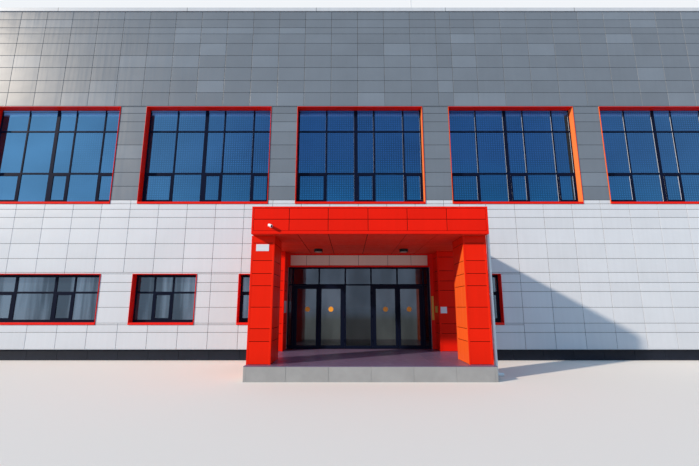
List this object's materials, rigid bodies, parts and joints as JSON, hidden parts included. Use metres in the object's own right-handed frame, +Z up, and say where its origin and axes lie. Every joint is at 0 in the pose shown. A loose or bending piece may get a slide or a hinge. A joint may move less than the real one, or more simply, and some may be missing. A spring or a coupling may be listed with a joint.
{
  "type": "school building",
  "caption": "School block clad in white and grey panels, with tall gridded upper windows and a red entrance portico over glazed double doors.",
  "frame": {"origin": "centre of the main block's footprint, at ground level", "axes": "+Z up, -Y out of the entrance front, +X to the right seen from the front"},
  "size_m": [33.54, 22.7483, 16.97],
  "materials": {
    "white_cladding": "matte light grey-white powder coat",
    "grey_cladding": "matte mid-grey powder coat",
    "red_cladding": "satin red powder coat",
    "black_frames": "satin black powder coat",
    "window_glass": "blue-tinted reflective glazing",
    "entrance_glass": "clear glazing",
    "plinth_render": "dark grey plinth facing",
    "floor_screed": "smooth cement",
    "roof_membrane": "grey roofing membrane",
    "white_coping": "white folded sheet",
    "porch_tiles": "grey matt floor tiles",
    "white_fittings": "white plastic",
    "lamp_glass": "dark lamp housing"
  },
  "bodies": {
    "building": {"plinth": "plinth_render", "ground_floor": "floor_screed", "upper_floor": "floor_screed", "roof_slab": "roof_membrane", "front_wall_left": "white_cladding", "front_wall_right": "white_cladding", "front_wall_over_entrance": "white_cladding", "back_wall_lower": "white_cladding", "front_piers": "grey_cladding", "back_piers": "grey_cladding", "front_wall_top": "grey_cladding", "back_wall_top": "grey_cladding", "left_wall_lower": "white_cladding", "left_wall_upper": "grey_cladding", "right_wall_lower": "white_cladding", "right_wall_upper": "grey_cladding", "roof_coping": "white_coping", "upper_window_linings": "red_cladding", "upper_window_frames": "black_frames", "upper_window_glass": "window_glass", "lower_window_linings": "red_cladding", "lower_window_frames": "black_frames", "lower_window_glass": "window_glass", "porch_platform": "porch_tiles", "portico_pillars": "red_cladding", "portico_pilasters": "red_cladding", "portico_fascia": "red_cladding", "portico_soffit": "red_cladding", "canopy_deck": "roof_membrane", "entrance_lining": "red_cladding", "entrance_posts": "black_frames", "entrance_rails": "black_frames", "entrance_glass": "entrance_glass", "frame_hinges": "black_frames", "soffit_lights": "lamp_glass", "security_camera": "white_fittings", "downpipe": "white_fittings", "roof_mast": "white_fittings"},
    "door_1": {"door_1_leaf": "black_frames", "door_1_glass": "entrance_glass", "door_1_hinges": "black_frames", "door_1_handles": "black_frames"},
    "door_2": {"door_2_leaf": "black_frames", "door_2_glass": "entrance_glass", "door_2_hinges": "black_frames", "door_2_handles": "black_frames"},
    "door_3": {"door_3_leaf": "black_frames", "door_3_glass": "entrance_glass", "door_3_hinges": "black_frames", "door_3_handles": "black_frames"},
    "door_4": {"door_4_leaf": "black_frames", "door_4_glass": "entrance_glass", "door_4_hinges": "black_frames", "door_4_handles": "black_frames"}
  },
  "joints": [
    {"name": "door_1_swing", "type": "hinge", "parent": "building", "child": "door_1", "pos_m": [-2.737, -8.894, 0.44], "axis": [0, 0, -1], "range_deg": [0, 90]},
    {"name": "door_2_swing", "type": "hinge", "parent": "building", "child": "door_2", "pos_m": [-0.661, -8.894, 0.44], "axis": [0, 0, 1], "range_deg": [0, 90]},
    {"name": "door_3_swing", "type": "hinge", "parent": "building", "child": "door_3", "pos_m": [0.463, -8.894, 0.44], "axis": [0, 0, -1], "range_deg": [0, 90]},
    {"name": "door_4_swing", "type": "hinge", "parent": "building", "child": "door_4", "pos_m": [2.539, -8.894, 0.44], "axis": [0, 0, 1], "range_deg": [0, 90]}
  ]
}
